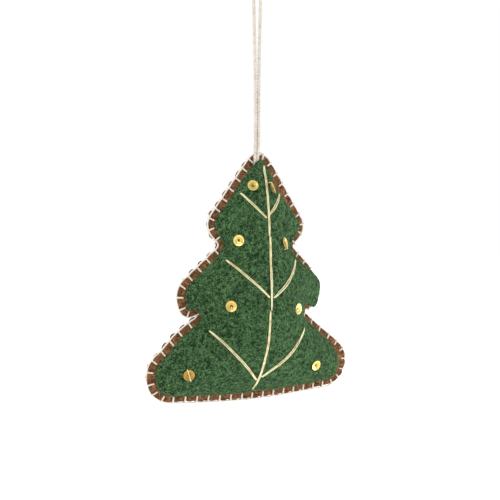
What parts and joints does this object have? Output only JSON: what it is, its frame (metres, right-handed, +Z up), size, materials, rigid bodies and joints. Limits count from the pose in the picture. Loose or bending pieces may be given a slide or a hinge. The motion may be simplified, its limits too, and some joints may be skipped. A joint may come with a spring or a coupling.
{
  "type": "felt christmas tree ornament",
  "caption": "Stuffed felt christmas tree ornament with gold embroidery, sequins and a blanket-stitched border, hanging on a cotton loop.",
  "frame": {"origin": "inside the bend of the hanging loop, where it hangs on its hook or twig", "axes": "+Z up along the loop, -Y towards the embroidered face, +X to the tree's right as seen from the front"},
  "size_m": [0.1053, 0.0265, 0.2021],
  "materials": {
    "green_felt": "matte",
    "brown_felt": "matte",
    "white_fill": "matte",
    "white_cotton": "matte",
    "cream_cord": "matte",
    "gold_thread": "satin",
    "gold_sequin": "gloss"
  },
  "bodies": {
    "loop": {"hanging_loop": "cream_cord"},
    "loop_foot": {"loop_foot": "cream_cord"},
    "loop_neck": {"loop_neck": "cream_cord"},
    "tree": {"front_tree_panel": "green_felt", "front_border_felt": "brown_felt", "back_felt": "brown_felt", "stuffing": "white_fill", "blanket_stitch": "white_cotton", "loop_tail": "cream_cord", "stem_stitch_upper": "gold_thread", "stem_stitch_middle": "gold_thread", "stem_stitch_lower": "gold_thread", "branch_stitch_upper_left": "gold_thread", "branch_stitch_upper_right": "gold_thread", "branch_stitch_middle_left": "gold_thread", "branch_stitch_middle_right": "gold_thread", "branch_stitch_lower_left": "gold_thread", "branch_stitch_lower_right": "gold_thread", "sequin_stitch_1_left": "gold_thread", "sequin_stitch_1_right": "gold_thread", "sequin_stitch_2_left": "gold_thread", "sequin_stitch_2_right": "gold_thread", "sequin_stitch_3_left": "gold_thread", "sequin_stitch_3_right": "gold_thread", "sequin_stitch_4_left": "gold_thread", "sequin_stitch_4_right": "gold_thread", "sequin_1_left": "gold_sequin", "sequin_1_right": "gold_sequin", "sequin_2_left": "gold_sequin", "sequin_2_right": "gold_sequin", "sequin_3_left": "gold_sequin", "sequin_3_right": "gold_sequin", "sequin_4_left": "gold_sequin", "sequin_4_right": "gold_sequin"}
  },
  "joints": [
    {"name": "tree_twist", "type": "hinge", "parent": "loop", "child": "loop_foot", "pos_m": [0, 0, -0.07], "axis": [0, 0, 1], "range_deg": [-180, 180]},
    {"name": "tree_swing", "type": "hinge", "parent": "loop_foot", "child": "loop_neck", "pos_m": [0, 0, -0.076], "axis": [0, 1, 0], "range_deg": [-90, 90]},
    {"name": "tree_nod", "type": "hinge", "parent": "loop_neck", "child": "tree", "pos_m": [0, 0, -0.0825], "axis": [1, 0, 0], "range_deg": [-90, 90]}
  ]
}
